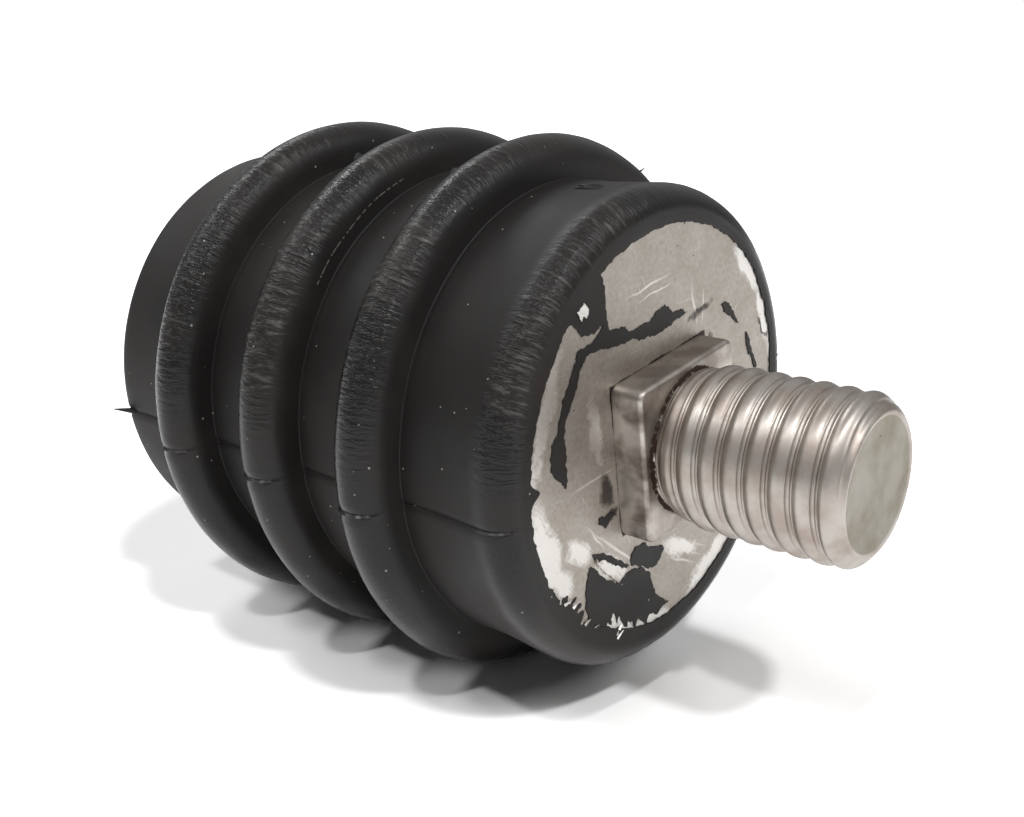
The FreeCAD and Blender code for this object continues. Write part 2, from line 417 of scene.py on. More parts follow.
        streaks = add("Bump", {"Strength": 1.0, "Distance": self.wrinkle_height_mm * MM},
                      {"Height": depth})
        skin = add("Bump", {"Strength": 0.5, "Distance": self.grain_height_mm * MM},
                   {"Height": grain, "Normal": streaks})
        dulled = add("MapRange", {"From Min": 0.35, "From Max": 0.7,
                                  "To Min": self.roughness - 0.06,
                                  "To Max": self.roughness + 0.1}, {"Value": smudges})
        gloss = add("Math", {**MULTIPLY_ADD, 1: self.nose_roughness - self.roughness},
                    {0: wrinkled, 2: dulled})
        feed(shader, {"Base Color": dusty, "Roughness": gloss, "Normal": skin})
        return material


@dataclass(frozen=True)
class Oval:
    """Oval zone of the core's face.

    Attributes:
        x: middle across, in mm.
        y: middle up, in mm.
        long: half its length, in mm.
        wide: half its width, in mm.
        turn: direction of its length, in degrees.
    """

    x: float
    y: float
    long: float
    wide: float
    turn: float


@dataclass(frozen=True)
class ScrapedAluminium:
    """Cast aluminium whose face was scraped bare of rubber flash.

    Matt and greyish where it is as cast, with pits and stray scratches, and nearly white where
    the scraper has rubbed it, above all along its edge. The corner at the foot of the square is
    darkened with painted shade.
    """

    colour: str = "a8a29b"
    dull: str = "9a938a"
    bright: str = "d0cdc9"
    # Dark colour of stains and pits, and of the painted shade at the foot of the square.
    dirt_and_shade: str = "2a2420"
    roughness: float = 0.5
    mottle_mm: float = 2.4
    # The casting's grain, its pits and the scraper's scratches measure 0.1 mm and less. They
    # are drawn coarser so that they show.
    grain_mm: float = 0.35
    pit_cell_mm: float = 1.0
    pit_radius_mm: float = 0.075
    scratch_mm: Point = (5.0, 0.11)
    scratch_turns: tuple[float, ...] = (-8, 47, 112)
    stroke_mm: Point = (7.0, 0.17)
    stroke_turns: Point = (28, -52)
    warp_mm: float = 1.7
    shake_mm: float = 0.5
    dent_height_mm: float = 0.03
    # Where the painted shade round the foot of the square fades out, and how its edge wanders.
    foot_shade_insets_mm: Point = (0.5, 0.36)
    foot_shade_sway_mm: float = 0.7
    burnishes: tuple[Oval, ...] = (
        Oval(14.2, 3.0, 4.3, 1.3, 102),
        Oval(13.0, 5.9, 1.8, 1.1, 120),
        Oval(10.7, 4.6, 1.7, 0.9, 139),
        Oval(12.9, -6.3, 5.0, 0.75, 63),
        Oval(-5.2, 13.4, 3.9, 0.9, 22),
        Oval(-12.4, -9.0, 2.9, 0.9, -54),
        Oval(-14.7, -3.8, 3.6, 0.5, -75),
        Oval(-1.4, 10.4, 2.6, 0.9, 147),
        Oval(7.4, 7.6, 2.2, 1.0, -38),
        Oval(7.4, 12.6, 2.4, 1.5, -35),
        Oval(3.0, 14.5, 2.6, 0.7, -10),
        Oval(12.4, 8.2, 1.4, 0.5, -60),
        Oval(7.9, -3.4, 2.6, 0.7, 96),
        Oval(8.4, -12.1, 1.3, 1.0, 0),
    )
    cuts: tuple[Oval, ...] = (
        Oval(8.6, 0.0, 1.9, 0.09, 178),
        Oval(6.0, 7.1, 4.1, 0.1, 134),
        Oval(8.8, 4.5, 1.2, 0.08, 122),
        Oval(-1.9, 10.3, 2.5, 0.1, 150),
        Oval(-1.6, 10.9, 2.2, 0.12, 148),
        Oval(-1.3, 11.5, 1.6, 0.08, 146),
        Oval(0.7, -11.6, 2.1, 0.09, -178),
        Oval(-0.1, -10.9, 1.8, 0.06, -177),
        Oval(-4.8, -8.3, 1.4, 0.1, 98),
        Oval(-5.9, -7.9, 1.1, 0.08, 79),
    )
    stains: tuple[Oval, ...] = (
        Oval(7.4, 1.6, 1.9, 0.8, 104),
        Oval(7.0, 3.7, 1.1, 0.35, 20),
        Oval(-5.6, -7.7, 1.9, 0.4, 14),
        Oval(-14.5, -3.0, 2.3, 0.16, -60),
        Oval(-6.6, -4.8, 1.2, 0.3, 70),
    )

    def within(self, add: AddNode, place: Source, ovals: tuple[Oval, ...]) -> bpy.types.Node:
        """Mask that is 1 in the middle of any of some ovals and falls to 0 past their edges.

        Args:
            add: what adds a node to the material.
            place: place on the face, in metres.
            ovals: the ovals.

        Returns:
            The mask.
        """
        masks = []
        for oval in ovals:
            local = add("Mapping", {
                "vector_type": "TEXTURE", "Location": (oval.x * MM, oval.y * MM, 0),
                "Rotation": (0, 0, math.radians(oval.turn)),
                "Scale": (oval.long * MM, oval.wide * MM, 1)}, {"Vector": place})
            away = add("VectorMath", LENGTH, {0: local})
            masks.append(add("MapRange", {"From Min": 1.5, "From Max": 0.3}, {"Value": away}))
        return reduce(lambda one, other: add("Math", MAXIMUM, {0: one, 1: other}), masks)

    def lines(self, add: AddNode, place: Source, turn: float, size: Point) -> bpy.types.Node:
        """Noise that is drawn out to straight lines.

        Args:
            add: what adds a node to the material.
            place: place on the face, in metres.
            turn: direction of the lines, in degrees.
            size: length and width of a line, in mm.

        Returns:
            The noise, from 0 to 1.
        """
        along = add("Mapping", {"vector_type": "TEXTURE", "Rotation": (0, 0, math.radians(turn)),
                                "Scale": (size[0] * MM, size[1] * MM, 1)}, {"Vector": place})
        return add("TexNoise", {"Scale": 1.0, "Detail": 2.0}, {"Vector": along})

    def make(self, half_square: float) -> bpy.types.Material:
        """Builds the material.

        Args:
            half_square: half the width of the square shoulder, in mm.

        Returns:
            The material.
        """
        material, add, shader = new_material("scraped_aluminium")
        shader.inputs["Metallic"].default_value = 1.0

        place = add("TexCoord").outputs["Object"]
        parts = add("SeparateXYZ", links={0: place})
        mottle = add("TexNoise", {"Scale": per_mm(self.mottle_mm), "Detail": 5.0,
                                  "Roughness": 0.6}, {"Vector": place})
        grain = add("TexNoise", {"Scale": per_mm(self.grain_mm), "Detail": 3.0},
                    {"Vector": place})
        both = add("Math", ADD, {0: mottle, 1: grain})
        tone = add("MapRange", {"From Min": 0.78, "From Max": 1.22}, {"Value": both})
        metal = add("Mix", {**COLOURS, MIX_A: linear(self.dull), MIX_B: linear(self.colour)},
                    {0: tone})

        # The rubbed and the stained zones have wandering outlines, and a scratch shakes a little.
        wander = add("TexNoise", {"Scale": per_mm(self.warp_mm), "Detail": 4.0},
                     {"Vector": place})
        centred = add("VectorMath", {"operation": "SUBTRACT", 1: (0.5, 0.5, 0.5)},
                      {0: wander.outputs["Color"]})
        warped, shaky = (
            add("VectorMath", {**MULTIPLY_ADD, 1: (shift * MM, shift * MM, 0)},
                {0: centred, 2: place}) for shift in (self.warp_mm, self.shake_mm))

        # Strokes of the scraper, in its two main directions, break up the rubbed zones.
        strokes = [self.lines(add, warped, turn, self.stroke_mm) for turn in self.stroke_turns]
        stroke = add("Math", ADD, dict(enumerate(strokes)))
        rubbed = add("Math", MULTIPLY, {0: self.within(add, warped, self.burnishes), 1: stroke})
        shine = add("MapRange", {"From Min": 0.34, "From Max": 0.72}, {"Value": rubbed})
        scored = add("Math", {**MULTIPLY, 1: 0.8}, {0: self.within(add, shaky, self.cuts)})
        for turn in self.scratch_turns:
            fine = add("MapRange", {"From Min": 0.69, "From Max": 0.75, "To Max": 0.6},
                       {"Value": self.lines(add, shaky, turn, self.scratch_mm)})
            scored = add("Math", MAXIMUM, {0: scored, 1: fine})
        paler = add("Math", MAXIMUM, {0: shine, 1: scored})
        burnished = add("Mix", {**COLOURS, MIX_B: linear(self.bright)}, {0: paler, MIX_A: metal})

        # Stains and pits of the casting, and painted shade in the corner at the foot of the
        # square, all drawn in one dark colour.
        blot = add("Math", MULTIPLY, {0: self.within(add, warped, self.stains), 1: both})
        dirt_and_shade = add("MapRange", {"From Min": 0.45, "From Max": 0.85, "To Max": 0.85},
                   {"Value": blot})
        pits = spots(add, place, self.pit_cell_mm, self.pit_radius_mm, 0.6)
        # Painted shade: the face darkens towards the foot of the square.
        across = [add("Math", {"operation": "ABSOLUTE"}, {0: parts.outputs[axis]})
                  for axis in ("X", "Y")]
        out = add("Math", MAXIMUM, dict(enumerate(across)))
        ragged = add("Math", {**MULTIPLY_ADD, 1: self.foot_shade_sway_mm * MM}, {0: mottle, 2: out})
        low, high = ((half_square + inset) * MM for inset in self.foot_shade_insets_mm)
        foot = add("MapRange", {"From Min": low, "From Max": high}, {"Value": ragged})
        for more in (pits, foot):
            dirt_and_shade = add("Math", MAXIMUM, {0: dirt_and_shade, 1: more})
        dirty_and_shaded = add("Mix", {**COLOURS, MIX_B: linear(self.dirt_and_shade)}, {0: dirt_and_shade, MIX_A: burnished})

        rough = add("MapRange", {"To Min": self.roughness, "To Max": self.roughness - 0.12},
                    {"Value": paler})
        dents = add("Bump", {"Strength": 0.6, "Distance": self.dent_height_mm * MM},
                    {"Height": both})
        grooves = add("Bump", {"Strength": 0.5, "Distance": self.dent_height_mm * MM},
                      {"Height": rubbed, "Normal": dents})
        feed(shader, {"Base Color": dirty_and_shaded, "Roughness": rough, "Normal": grooves})
        return material


@dataclass(frozen=True)
class TumbledStainless:
    """Stainless steel, rolled, tumbled and left with a faint warm tint.

    Its crests give soft mirror bands. The sawn end is matt, and rust has crept out of the
    corner between the neck and the shoulder.
    """

    colour: str = "b0aaa4"
    warm: str = "9d928a"
    end: str = "a5a198"
    end_spots: str = "979284"
    grime: str = "574e48"
    rust: str = "3a261d"
    roughness: float = 0.4
    mottle_mm: float = 2.2
    # The marks of the tumbling and the crust of the rust measure well under 0.1 mm, and are
    # drawn coarser so that they show. The nicks are at their real size.
    grain_mm: float = 0.3
    grain_height_mm: float = 0.015
    rust_mm: float = 0.4
    rust_patch_mm: float = 5.0
    rust_reach_mm: float = 0.6
    nick_cell_mm: float = 1.6
    nick_radius_mm: float = 0.13
    end_inset_mm: float = 0.3
    dirty_insets_mm: Point = (0.7, 0.1)

    def make(self, stud: "ThreadedStud") -> bpy.types.Material:
        """Builds the material.

        Args:
            stud: the stud, whose sizes say where the sawn end and the rust lie.

        Returns:
            The material.
        """
        material, add, shader = new_material("tumbled_stainless")

        place = add("TexCoord").outputs["Object"]
        parts = add("SeparateXYZ", links={0: place})
        height, reach = parts.outputs["Z"], from_axis(add, parts)
        mottle = add("TexNoise", {"Scale": per_mm(self.mottle_mm), "Detail": 5.0},
                     {"Vector": place})
        grain = add("TexNoise", {"Scale": per_mm(self.grain_mm), "Detail": 3.0},
                    {"Vector": place})
        tint = add("MapRange", {"From Min": 0.4, "From Max": 0.65}, {"Value": mottle})
        metal = add("Mix", {**COLOURS, MIX_A: linear(self.colour), MIX_B: linear(self.warm)},
                    {0: tint})

        # The dished disc that the saw left, inside its bright rim.
        at_tip = add("Math", {**GREATER, 1: (stud.tip - stud.dish_depth - CLEARANCE) * MM},
                     {0: height})
        in_rim = add("Math", {**LESS, 1: (stud.end_radius - self.end_inset_mm) * MM},
                     {0: reach})
        sawn = add("Math", MULTIPLY, {0: at_tip, 1: in_rim})
        spotted = add("MapRange", {"From Min": 0.4, "From Max": 0.66}, {"Value": mottle})
        disc = add("Mix", {**COLOURS, MIX_A: linear(self.end), MIX_B: linear(self.end_spots)},
                   {0: spotted})
        ended = add("Mix", COLOURS, {0: sawn, MIX_A: metal, MIX_B: disc})

        # Grime smears the square, most of all on its +X side.
        on_square = add("Math", {**LESS, 1: (stud.shoulder_top + 0.05) * MM}, {0: height})
        smears = add("MapRange", {"From Min": 0.42, "From Max": 0.62, "To Max": 0.8},
                     {"Value": mottle})
        low, high = ((stud.half_square - inset) * MM for inset in self.dirty_insets_mm)
        dirty_side = add("MapRange", {"From Min": low, "From Max": high, "To Min": 0.35},
                         {"Value": parts.outputs["X"]})
        smeary = add("Math", MULTIPLY, {0: smears, 1: dirty_side})
        grimy = add("Math", MULTIPLY, {0: on_square, 1: smeary})
        smeared = add("Mix", {**COLOURS, MIX_B: linear(self.grime)}, {0: grimy, MIX_A: ended})

        # Rust in the corner between the shoulder and the neck, in patches, and in the nicks.
        crust = add("TexNoise", {"Scale": per_mm(self.rust_mm), "Detail": 4.0},
                    {"Vector": place})
        patches = add("TexNoise", {"Scale": per_mm(self.rust_patch_mm), "Detail": 1.0},
                      {"Vector": place})
        near_foot = add("MapRange", {
            "From Min": (stud.shoulder_top + self.rust_reach_mm) * MM,
            "From Max": (stud.shoulder_top + 0.05) * MM}, {"Value": height})
        near_neck = add("MapRange", {
            "From Min": (stud.neck_radius + self.rust_reach_mm) * MM,
            "From Max": (stud.neck_radius + 0.15) * MM}, {"Value": reach})
        rust = add("Math", MULTIPLY, {0: near_foot, 1: near_neck})
        for pattern in (crust, patches):
            rust = add("Math", MULTIPLY, {0: rust, 1: pattern})
        rusty = add("MapRange", {"From Min": 0.15, "From Max": 0.2}, {"Value": rust})
        nicks = spots(add, place, self.nick_cell_mm, self.nick_radius_mm, 0.55)
        colour = smeared
        for mask in (rusty, nicks):
            colour = add("Mix", {**COLOURS, MIX_B: linear(self.rust)}, {0: mask, MIX_A: colour})

        bare = add("Math", {"operation": "SUBTRACT", 0: 1.0}, {1: rusty})
        rough = add("MapRange", {"From Min": 0.3, "From Max": 0.7,
                                 "To Min": self.roughness - 0.04,
                                 "To Max": self.roughness + 0.08}, {"Value": mottle})
        for mask, rougher in ((sawn, 0.3), (rusty, 0.5)):
            rough = add("Math", {**MULTIPLY_ADD, 1: rougher}, {0: mask, 2: rough})
        skin = add("Bump", {"Strength": 0.3, "Distance": self.grain_height_mm * MM},
                   {"Height": grain})
        feed(shader, {"Base Color": colour, "Metallic": bare, "Roughness": rough,
                      "Normal": skin})
        return material


@dataclass
class RubberBody:
    """The rubber moulding: barrel, three ribs, flared rim and the traces that its mould left.

    All sizes are in mm. The lip is the thin edge of rubber that laps over the metal face, and
    the fin is the flash along the parting line. Each swell of the lip has its height, and its
    middle and width in degrees. Each tag of flash has its root and its point, as radius, angle
    and height, and the length of its root. Each wave of the skin has its share and its length.
    """

    front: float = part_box("metal_core")[1].z / MM
    crest_radius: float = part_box("rubber_body")[1].x / MM
    core_radius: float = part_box("metal_core")[1].x / MM
    core_foot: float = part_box("metal_core")[0].z / MM
    barrel_radius: float = 17.75
    rear_round: float = 1.2
    rib_nose: float = 2.15
    rib_foot: float = 0.1
    first_rib: float = 11.1
    rib_pitch: float = 10.5
    rib_count: int = 3
    rim_radius: float = 18.05
    rim_drop: float = 2.1
    flare_length: float = 6.3
    lip_radius: float = 15.3
    lip_height: float = 0.12
    lip_swells: tuple[Spot, ...] = ((0.42, -145, 48), (-0.5, 58, 42), (-0.95, -7, 2.6))
    columns: int = 432
    face_step: float = 2.5
    groove_step: float = 0.75
    flare_step: float = 0.6
    fin_height: float = 0.07
    fin_half_angle: float = 0.4
    seam_groove: float = 0.14
    unevenness: float = 0.05
    waves: tuple[Point, ...] = ((1.0, 6.0), (0.25, 1.4))
    crest_sway: float = 0.09
    crest_sway_length: float = 4.5
    gate_angle: float = -90.0
    gate_heights: Point = (15.1, 26.0)
    gate_sizes: tuple[Spot, ...] = ((1.25, 0.75, 0.7), (0.75, 0.95, 0.6))
    slit_height: float = 38.6
    slit_shift: float = -1.5
    slit_lip: Spot = (0.24, 0.15, 1.5)
    flash_tags: tuple[tuple[Spot, Spot, float], ...] = (
        ((17.5, 0, 1.2), (19.1, -2.0, 0.35), 1.5),
        ((17.8, 180, 42.0), (18.9, 180.5, 42.4), 0.9),
        ((20.3, -130.5, 33.3), (20.95, -131, 33.7), 0.45),
    )
    tag_point: float = 0.04
    tag_flatness: float = 0.35

    def rib_section(self, middle: float) -> list[Point]:
        """Section of one rib from its rear foot to its front foot.

        Args:
            middle: height of the rib's middle.

        Returns:
            Radius and height of each point.
        """
        nose = self.crest_radius - self.rib_nose
        foot = self.barrel_radius + self.rib_foot
        away = self.rib_nose + self.rib_foot
        return (arc((foot, middle - away), self.rib_foot, 180, 90, 5)[:-1]
                + [(foot, middle - self.rib_nose)]
                + arc((nose, middle), self.rib_nose, -90, 90, 18)
                + [(foot, middle + self.rib_nose)]
                + arc((foot, middle + away), self.rib_foot, -90, -180, 5)[1:])

    def section(self) -> list[Point]:
        """Section of the whole moulding, from the rear face round the outside to its cup."""
        rear = self.barrel_radius - self.rear_round
        points = ([(0, 0)] + stretch((0, 0), (rear, 0), self.face_step)
                  + arc((rear, self.rear_round), self.rear_round, -90, 0, 7))
        for number in range(self.rib_count):
            rib = self.rib_section(self.first_rib + number * self.rib_pitch)
            points += stretch(points[-1], rib[0], self.groove_step) + rib
        flare_foot = (self.barrel_radius, self.front - self.flare_length)
        shoulder = (self.rim_radius, self.front - self.rim_drop)
        points += stretch(points[-1], flare_foot, self.flare_step) + [flare_foot]
        points += stretch(flare_foot, shoulder, self.flare_step)
        across = self.rim_radius - self.core_radius - 0.2
        top = self.front + self.lip_height
        points += [(self.rim_radius - across + across * math.cos(turn),
                    top - self.rim_drop + self.rim_drop * math.sin(turn))
                   for turn in (math.radians(10 * step) for step in range(10))]
        floor, wall = self.front + CLEARANCE / 2, self.core_radius + CLEARANCE
        points += [(self.core_radius - 0.1, top),
                   (self.lip_radius, self.front + self.lip_height * 0.8),
                   (self.lip_radius, floor), (wall, floor),
                   (wall, self.core_foot), (0, self.core_foot)]
        return points

    def lip_reach(self, angle: float) -> float:
        """How far in the lip reaches at one angle, as a radius.

        Args:
            angle: degrees round the axis.

        Returns:
            Radius of the lip's torn edge.
        """
        spot = polar(15, angle, 0)
        ragged = 0.16 * noise.fractal(spot * 1.1, 0.6, 2.0, 3) + 0.1 * noise.noise(spot * 3.1)
        swelling = sum(height * bump_at(angle, middle, width)
                       for height, middle, width in self.lip_swells)
        return self.lip_radius + swelling + ragged

    def shaped(self, place: Vector) -> Vector:
        """Moves one point of the turned shell to its place on the real, uneven moulding.

        Args:
            place: the point, in metres.

        Returns:
            Its new place.
        """
        height = place.z / MM
        radius = math.hypot(place.x, place.y) / MM
        if radius < CLEARANCE / 2:
            return place
        turn = math.degrees(math.atan2(place.y, place.x))
        column = 360 / self.columns
        spot = place / MM
        if abs(radius - self.lip_radius) < CLEARANCE and height > self.front - 0.1:
            radius = self.lip_reach(turn)
        elif radius > self.core_radius + 0.1 or height < 1.0:
            radius += self.unevenness * sum(share * noise.noise(spot / length)
                                            for share, length in self.waves)
            if radius > self.crest_radius - 1.2:
                shift = spot / self.crest_sway_length + Vector((7, 0, 0))
                height += self.crest_sway * noise.noise(shift)
            for seam in (0.0, 180.0):
                off = (turn - seam + 180) % 360 - 180
                if abs(off) < 0.2 * column:
                    wave = noise.noise(Vector((seam, 0, height / 2)))
                    radius += self.fin_height * (0.75 + 0.5 * wave)
                elif abs(off) < 1.2 * column:
                    turn = seam + math.copysign(self.fin_half_angle, off)
                    radius -= self.seam_groove
        return polar(radius, turn, height) * MM

    def tag(self, root: Vector, tip: Vector, width: float) -> bmesh.types.BMesh:
        """Small pointed tag of flash, flat and upright.

        Args:
            root: middle of its root, in mm.
            tip: its point, in mm.
            width: length of its root, in mm.

        Returns:
            The closed tag, in metres.
        """
        bm = bmesh.new()
        bmesh.ops.create_cone(bm, cap_ends=True, segments=8, radius1=width / 2,
                              radius2=self.tag_point, depth=(tip - root).length)
        away = (tip - root).normalized()
        side = away.cross(UP).normalized()
        turn = Matrix((UP, side * self.tag_flatness, away)).transposed().to_4x4()
        bmesh.ops.transform(bm, verts=bm.verts,
                            matrix=Matrix.Translation((root + tip) / 2) @ turn)
        bmesh.ops.scale(bm, verts=bm.verts, vec=(MM, MM, MM))
        return bm

    def gate_marks(self) -> list[bmesh.types.BMesh]:
        """What the gates left: a nub in each of two grooves, and a slit between two lips."""
        lumps = [(height, self.gate_angle, size)
                 for height, size in zip(self.gate_heights, self.gate_sizes)]
        lumps += [(self.slit_height, self.gate_angle + self.slit_shift + side, self.slit_lip)
                  for side in (-1, 1)]
        marks = []
        for height, angle, size in lumps:
            bm = bmesh.new()
            bmesh.ops.create_icosphere(bm, subdivisions=3, radius=1.0)
            for vert in bm.verts:
                vert.co *= 1 + 0.3 * noise.noise(vert.co * 2.1 + Vector((height, angle, 0)))
            bmesh.ops.scale(bm, verts=bm.verts, vec=Vector(size) * MM)
            spot = polar(self.barrel_radius, angle, height) * MM
            turn = Matrix.Rotation(math.radians(angle), 4, "Z")
            bmesh.ops.transform(bm, verts=bm.verts, matrix=Matrix.Translation(spot) @ turn)
            marks.append(bm)
        return marks

    def build(self, finish: MouldedRubber) -> bpy.types.Material:
        """Builds the moulding in place of its solid.

        Args:
            finish: the rubber's finish.

        Returns:
            The rubber material, which the flash on the core shares.
        """
        bm = turned(self.section(), self.columns)
        for vert in bm.verts:
            vert.co = self.shaped(vert.co)
        tags = [self.tag(polar(*root), polar(*tip), width)
                for root, tip, width in self.flash_tags]
        for extra in tags + self.gate_marks():
            joined(bm, extra)
        bmesh.ops.recalc_face_normals(bm, faces=bm.faces)
        rubber = finish.make(self)
        piece = finished(bm, "rubber_moulding", rubber, sharp=50)
        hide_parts("rubber_body")
        return rubber


@dataclass
class Scrapings:
    """What the scraper left on the metal face: torn films of rubber, and torn bits of the metal.

    Outlines are in mm, in the part's X and Y. Their edges are made ragged. One dark film of
    rubber, along the torn tongue of metal, is a painted shadow.
    """

    face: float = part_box("metal_core")[1].z / MM
    film_thickness: float = 0.07
    tear_thickness: float = 0.17
    sunk: float = 0.02
    ragged: float = 0.15
    edge_step: float = 0.13
    sliver_count: int = 10
    sliver_arc: Point = (24, 62)
    sliver_radii: Point = (14.3, 15.2)
    sliver_lengths: Point = (0.4, 0.9)
    sliver_roots: Point = (0.07, 0.17)
    sliver_point: float = 0.015
    sliver_leans: Point = (72, 86)
    sliver_swings: Point = (-50, 50)
    sliver_lift: float = 0.14
    films: dict[str, Outline] = field(default_factory=lambda: {
        "band": (
            (-3.8, -8.2), (-1.2, -7.9), (0.2, -7.8), (2.2, -8.2), (3.0, -8.5), (5.0, -8.6),
            (7.0, -9.1), (8.2, -9.1), (9.0, -8.3), (9.6, -7.2), (10.9, -5.5), (11.3, -4.6),
            (11.2, -3.4), (11.5, -0.7), (12.4, -1.8), (12.9, -2.6), (12.5, -4.4), (11.8, -5.1),
            (11.1, -6.9), (10.2, -7.9), (9.0, -9.7), (7.0, -9.85), (6.2, -10.6), (7.2, -10.4),
            (8.6, -10.6), (9.3, -11.6), (10.3, -11.8), (10.0, -12.8), (6.0, -14.6), (5.7, -12.4),
            (5.8, -11.3), (5.6, -10.0), (3.8, -9.6), (3.2, -9.1), (0.8, -9.1), (0.0, -9.5),
            (-1.2, -9.6), (-2.0, -8.7), (-3.0, -8.7)),
        "lobes": (
            (9.6, 6.3), (9.0, 7.2), (8.0, 8.3), (6.9, 9.2), (6.2, 9.0), (5.0, 9.0), (3.8, 9.5),
            (2.9, 10.4), (2.7, 11.3), (2.3, 12.6), (1.6, 13.4), (0.8, 14.1), (1.5, 14.1),
            (2.4, 14.4), (2.7, 14.0), (3.5, 13.9), (3.9, 14.4), (4.3, 14.0), (4.7, 13.3),
            (5.2, 14.0), (5.5, 13.3), (6.0, 12.9), (6.3, 13.4), (6.7, 12.6), (7.0, 11.8),
            (7.3, 12.3), (7.5, 11.5), (7.7, 11.1), (8.0, 12.2), (8.3, 11.7), (8.5, 11.5),
            (8.9, 12.3), (9.2, 11.5), (9.5, 11.9), (9.8, 11.0), (10.4, 11.1), (10.4, 10.2),
            (10.7, 9.2), (10.4, 7.8), (10.1, 6.7)),
        # Painted shadow: a dark film of rubber along the torn tongue's edge, standing for its
        # shade.
        "undercut": (
            (9.4, 5.5), (8.3, 5.9), (7.3, 6.7), (6.2, 7.7), (5.4, 8.5), (5.9, 8.6), (7.0, 7.6),
            (8.2, 6.7), (9.2, 6.0)),
        "torn": (
            (13.6, 7.0), (12.5, 7.2), (13.0, 7.8), (11.6, 7.8), (12.2, 8.4), (11.1, 8.5),
            (11.7, 9.1), (10.9, 9.3), (11.4, 9.9), (10.7, 10.5), (11.4, 10.5), (12.6, 9.2),
            (13.6, 7.8)),
        "patch": (
            (0.9, 9.4), (1.6, 10.0), (2.5, 10.2), (3.6, 9.5), (5.0, 8.6), (5.0, 7.8), (4.4, 7.4),
            (3.4, 7.6), (2.4, 8.5), (1.0, 8.9)),
        "blob": (
            (8.3, 3.0), (7.6, 3.2), (6.7, 3.3), (6.5, 3.6), (7.2, 3.8), (7.8, 4.1), (8.4, 3.6)),
        "smear": (
            (-8.5, -7.3), (-9.1, -7.3), (-9.6, -6.7), (-10.3, -5.8), (-10.8, -5.0),
            (-10.3, -5.3), (-9.5, -6.0), (-8.8, -6.5)),
        "streak": (
            (-11.9, -4.0), (-11.8, -3.2), (-12.0, -2.3), (-12.6, -1.4), (-12.9, -0.4),
            (-13.3, -0.4), (-13.0, -1.4), (-12.4, -2.5), (-12.2, -3.3)),
    })
    tears: dict[str, Outline] = field(default_factory=lambda: {
        "tongue": (
            (9.2, 6.0), (8.1, 6.7), (7.0, 7.6), (5.7, 8.6), (6.3, 8.9), (6.9, 9.1), (7.7, 8.1),
            (8.7, 7.1)),
        "island": (
            (9.0, -12.5), (8.6, -12.4), (8.2, -12.8), (7.7, -12.3), (7.9, -11.7), (8.3, -11.9),
            (8.6, -11.6), (8.8, -12.1)),
    })

    def film(self, name: str, outline: Outline, thickness: float) -> bmesh.types.BMesh:
        """One film with a ragged edge.

        Args:
            name: name of the film, which also sets its raggedness apart.
            outline: its corners, in order.
            thickness: how far it stands above the face, in mm.

        Returns:
            The closed film, in metres.
        """
        bm = bmesh.new()
        lower = (self.face - self.sunk) * MM
        bm.faces.new([bm.verts.new((x * MM, y * MM, lower)) for x, y in outline])
        for edge in bm.edges[:]:
            cuts = round(edge.calc_length() / (self.edge_step * MM)) - 1
            if cuts > 0:
                bmesh.ops.subdivide_edges(bm, edges=[edge], cuts=cuts)
        shift = Vector((len(name), 0, 0))
        for vert in bm.verts:
            spot = Vector((vert.co.x, vert.co.y, 0)) / MM
            side = sum((share * noise.noise_vector(spot * scale + shift)
                        for share, scale in ((1.0, 1.7), (0.7, 4.5), (0.5, 8.0))), Vector())
            vert.co += Vector((side.x, side.y, 0)) * self.ragged * MM
        raised = bmesh.ops.extrude_face_region(bm, geom=bm.faces[:])
        top = [item for item in raised["geom"] if isinstance(item, bmesh.types.BMVert)]
        bmesh.ops.translate(bm, verts=top, vec=(0, 0, (thickness + self.sunk) * MM))
        bmesh.ops.triangulate(bm, faces=bm.faces, quad_method="BEAUTY", ngon_method="BEAUTY")
        bmesh.ops.recalc_face_normals(bm, faces=bm.faces)
        return bm

    def slivers(self) -> bmesh.types.BMesh:
        """Pointed slivers of metal that lie across the torn edge of the rubber."""
        rng = random.Random(SEED)
        bm = bmesh.new()
        for _ in range(self.sliver_count):
            angle = rng.uniform(*self.sliver_arc)
            radius = rng.uniform(*self.sliver_radii)
            length = rng.uniform(*self.sliver_lengths)
            made = bmesh.ops.create_cone(bm, cap_ends=True, segments=6,
                                         radius1=rng.uniform(*self.sliver_roots),
                                         radius2=self.sliver_point, depth=length)
            lean = Matrix.Rotation(math.radians(rng.uniform(*self.sliver_leans)), 4, "Y")
            swing = Matrix.Rotation(
                math.radians(angle + 180 + rng.uniform(*self.sliver_swings)), 4, "Z")
            spot = polar(radius, angle, self.face + self.sliver_lift)
            bmesh.ops.transform(bm, verts=made["verts"],
                                matrix=Matrix.Translation(spot) @ swing @ lean)
        bmesh.ops.scale(bm, verts=bm.verts, vec=(MM, MM, MM))
        return bm

    def build(self, rubber: bpy.types.Material, metal: bpy.types.Material) -> None:
        """Builds every film, tear and sliver.

        Args:
            rubber: material of the rubber body.
            metal: material of the core.
        """
        for name, outline in self.films.items():
            film = self.film(name, outline, self.film_thickness)
            finished(film, f"flash_{name}", rubber)
        for name, outline in self.tears.items():
            tear = self.film(name, outline, self.tear_thickness)
            finished(tear, f"tear_{name}", metal)
        finished(self.slivers(), "tear_slivers", metal)


